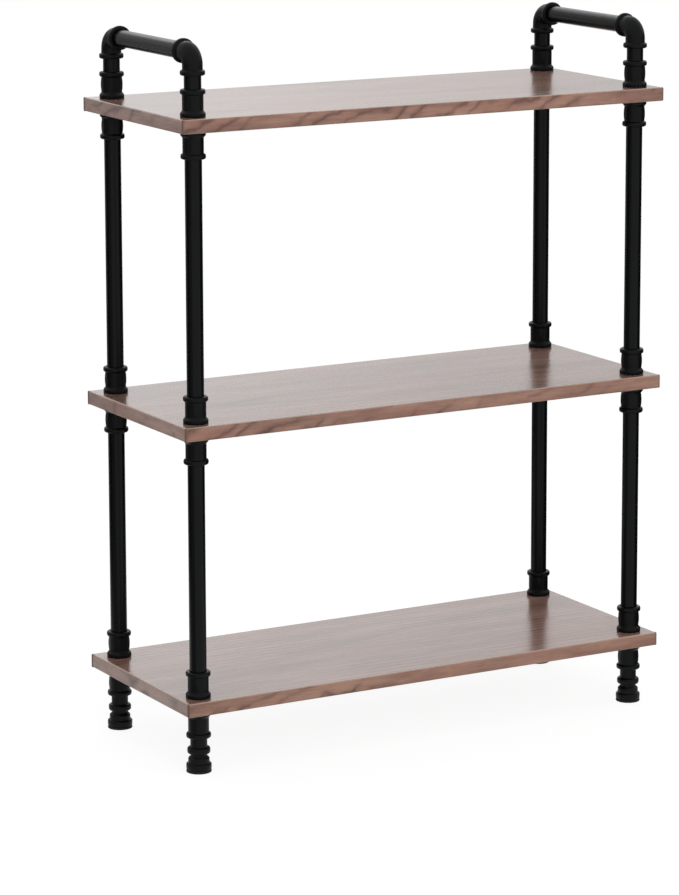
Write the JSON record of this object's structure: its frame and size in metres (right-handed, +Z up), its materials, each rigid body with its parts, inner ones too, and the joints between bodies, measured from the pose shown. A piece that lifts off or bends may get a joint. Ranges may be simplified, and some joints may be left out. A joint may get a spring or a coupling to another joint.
{
  "type": "pipe shelving unit",
  "caption": "Free-standing shelving unit: walnut-look boards clamped at their corners between black pipe fittings, with levelling feet and a pipe handrail at each end.",
  "frame": {"origin": "on the floor under the middle of the shelves, with the feet screwed right in", "axes": "+X along the width to the viewer's right, +Y to the back, +Z up"},
  "size_m": [0.75, 0.3, 0.9873],
  "materials": {
    "walnut_laminate": "semi-gloss walnut-look laminate on particle board",
    "walnut_edge_band": "satin walnut-look edge band",
    "black_coated_cast_iron": "satin black powder coat on malleable cast iron",
    "black_coated_steel_pipe": "satin black powder coat on steel pipe",
    "zinc_plated_steel": "zinc-plated steel",
    "black_rubber": "matte moulded rubber"
  },
  "bodies": {
    "frame": {"shelf_board_top": "walnut_laminate", "shelf_board_middle": "walnut_laminate", "shelf_board_bottom": "walnut_laminate", "long_edge_bands": "walnut_edge_band", "end_edge_bands": "walnut_edge_band", "through_studs": "zinc_plated_steel", "collar_above_top_shelf_front_left": "black_coated_cast_iron", "collar_below_top_shelf_front_left": "black_coated_cast_iron", "collar_above_top_shelf_front_right": "black_coated_cast_iron", "collar_below_top_shelf_front_right": "black_coated_cast_iron", "collar_above_top_shelf_back_right": "black_coated_cast_iron", "collar_below_top_shelf_back_right": "black_coated_cast_iron", "collar_above_top_shelf_back_left": "black_coated_cast_iron", "collar_below_top_shelf_back_left": "black_coated_cast_iron", "collar_above_middle_shelf_front_left": "black_coated_cast_iron", "collar_below_middle_shelf_front_left": "black_coated_cast_iron", "collar_above_middle_shelf_front_right": "black_coated_cast_iron", "collar_below_middle_shelf_front_right": "black_coated_cast_iron", "collar_above_middle_shelf_back_right": "black_coated_cast_iron", "collar_below_middle_shelf_back_right": "black_coated_cast_iron", "collar_above_middle_shelf_back_left": "black_coated_cast_iron", "collar_below_middle_shelf_back_left": "black_coated_cast_iron", "collar_above_bottom_shelf_front_left": "black_coated_cast_iron", "collar_below_bottom_shelf_front_left": "black_coated_cast_iron", "collar_above_bottom_shelf_front_right": "black_coated_cast_iron", "collar_below_bottom_shelf_front_right": "black_coated_cast_iron", "collar_above_bottom_shelf_back_right": "black_coated_cast_iron", "collar_below_bottom_shelf_back_right": "black_coated_cast_iron", "collar_above_bottom_shelf_back_left": "black_coated_cast_iron", "collar_below_bottom_shelf_back_left": "black_coated_cast_iron", "lower_post_front_left": "black_coated_steel_pipe", "lower_post_front_right": "black_coated_steel_pipe", "lower_post_back_right": "black_coated_steel_pipe", "lower_post_back_left": "black_coated_steel_pipe", "upper_post_front_left": "black_coated_steel_pipe", "upper_post_front_right": "black_coated_steel_pipe", "upper_post_back_right": "black_coated_steel_pipe", "upper_post_back_left": "black_coated_steel_pipe", "riser_front_left": "black_coated_steel_pipe", "riser_front_right": "black_coated_steel_pipe", "riser_back_right": "black_coated_steel_pipe", "riser_back_left": "black_coated_steel_pipe", "handrail_left": "black_coated_steel_pipe", "handrail_right": "black_coated_steel_pipe", "elbow_front_left": "black_coated_cast_iron", "elbow_front_right": "black_coated_cast_iron", "elbow_back_right": "black_coated_cast_iron", "elbow_back_left": "black_coated_cast_iron", "foot_socket_front_left": "black_coated_cast_iron", "foot_socket_front_right": "black_coated_cast_iron", "foot_socket_back_right": "black_coated_cast_iron", "foot_socket_back_left": "black_coated_cast_iron"},
    "foot_pad_front_left": {"foot_pad_front_left": "black_rubber"},
    "levelling_foot_front_left": {"levelling_foot_front_left": "black_coated_cast_iron"},
    "foot_pad_front_right": {"foot_pad_front_right": "black_rubber"},
    "levelling_foot_front_right": {"levelling_foot_front_right": "black_coated_cast_iron"},
    "foot_pad_back_right": {"foot_pad_back_right": "black_rubber"},
    "levelling_foot_back_right": {"levelling_foot_back_right": "black_coated_cast_iron"},
    "foot_pad_back_left": {"foot_pad_back_left": "black_rubber"},
    "levelling_foot_back_left": {"levelling_foot_back_left": "black_coated_cast_iron"}
  },
  "joints": [
    {"name": "foot_travel_front_left", "type": "slide", "parent": "frame", "child": "foot_pad_front_left", "axis": [0, 0, -1], "range_m": [0, 0.008]},
    {"name": "foot_turn_front_left", "type": "hinge", "parent": "foot_pad_front_left", "child": "levelling_foot_front_left", "pos_m": [-0.346, -0.121, 0.0253], "axis": [0, 0, -1], "range_deg": [0, 1440]},
    {"name": "foot_travel_front_right", "type": "slide", "parent": "frame", "child": "foot_pad_front_right", "axis": [0, 0, -1], "range_m": [0, 0.008]},
    {"name": "foot_turn_front_right", "type": "hinge", "parent": "foot_pad_front_right", "child": "levelling_foot_front_right", "pos_m": [0.346, -0.121, 0.0253], "axis": [0, 0, -1], "range_deg": [0, 1440]},
    {"name": "foot_travel_back_right", "type": "slide", "parent": "frame", "child": "foot_pad_back_right", "axis": [0, 0, -1], "range_m": [0, 0.008]},
    {"name": "foot_turn_back_right", "type": "hinge", "parent": "foot_pad_back_right", "child": "levelling_foot_back_right", "pos_m": [0.346, 0.121, 0.0253], "axis": [0, 0, -1], "range_deg": [0, 1440]},
    {"name": "foot_travel_back_left", "type": "slide", "parent": "frame", "child": "foot_pad_back_left", "axis": [0, 0, -1], "range_m": [0, 0.008]},
    {"name": "foot_turn_back_left", "type": "hinge", "parent": "foot_pad_back_left", "child": "levelling_foot_back_left", "pos_m": [-0.346, 0.121, 0.0253], "axis": [0, 0, -1], "range_deg": [0, 1440]}
  ],
  "couplings": [
    {"joint": "foot_turn_front_left", "follows": "foot_travel_front_left", "rad_per_m": 3141.6},
    {"joint": "foot_turn_front_right", "follows": "foot_travel_front_right", "rad_per_m": 3141.6},
    {"joint": "foot_turn_back_right", "follows": "foot_travel_back_right", "rad_per_m": 3141.6},
    {"joint": "foot_turn_back_left", "follows": "foot_travel_back_left", "rad_per_m": 3141.6}
  ]
}
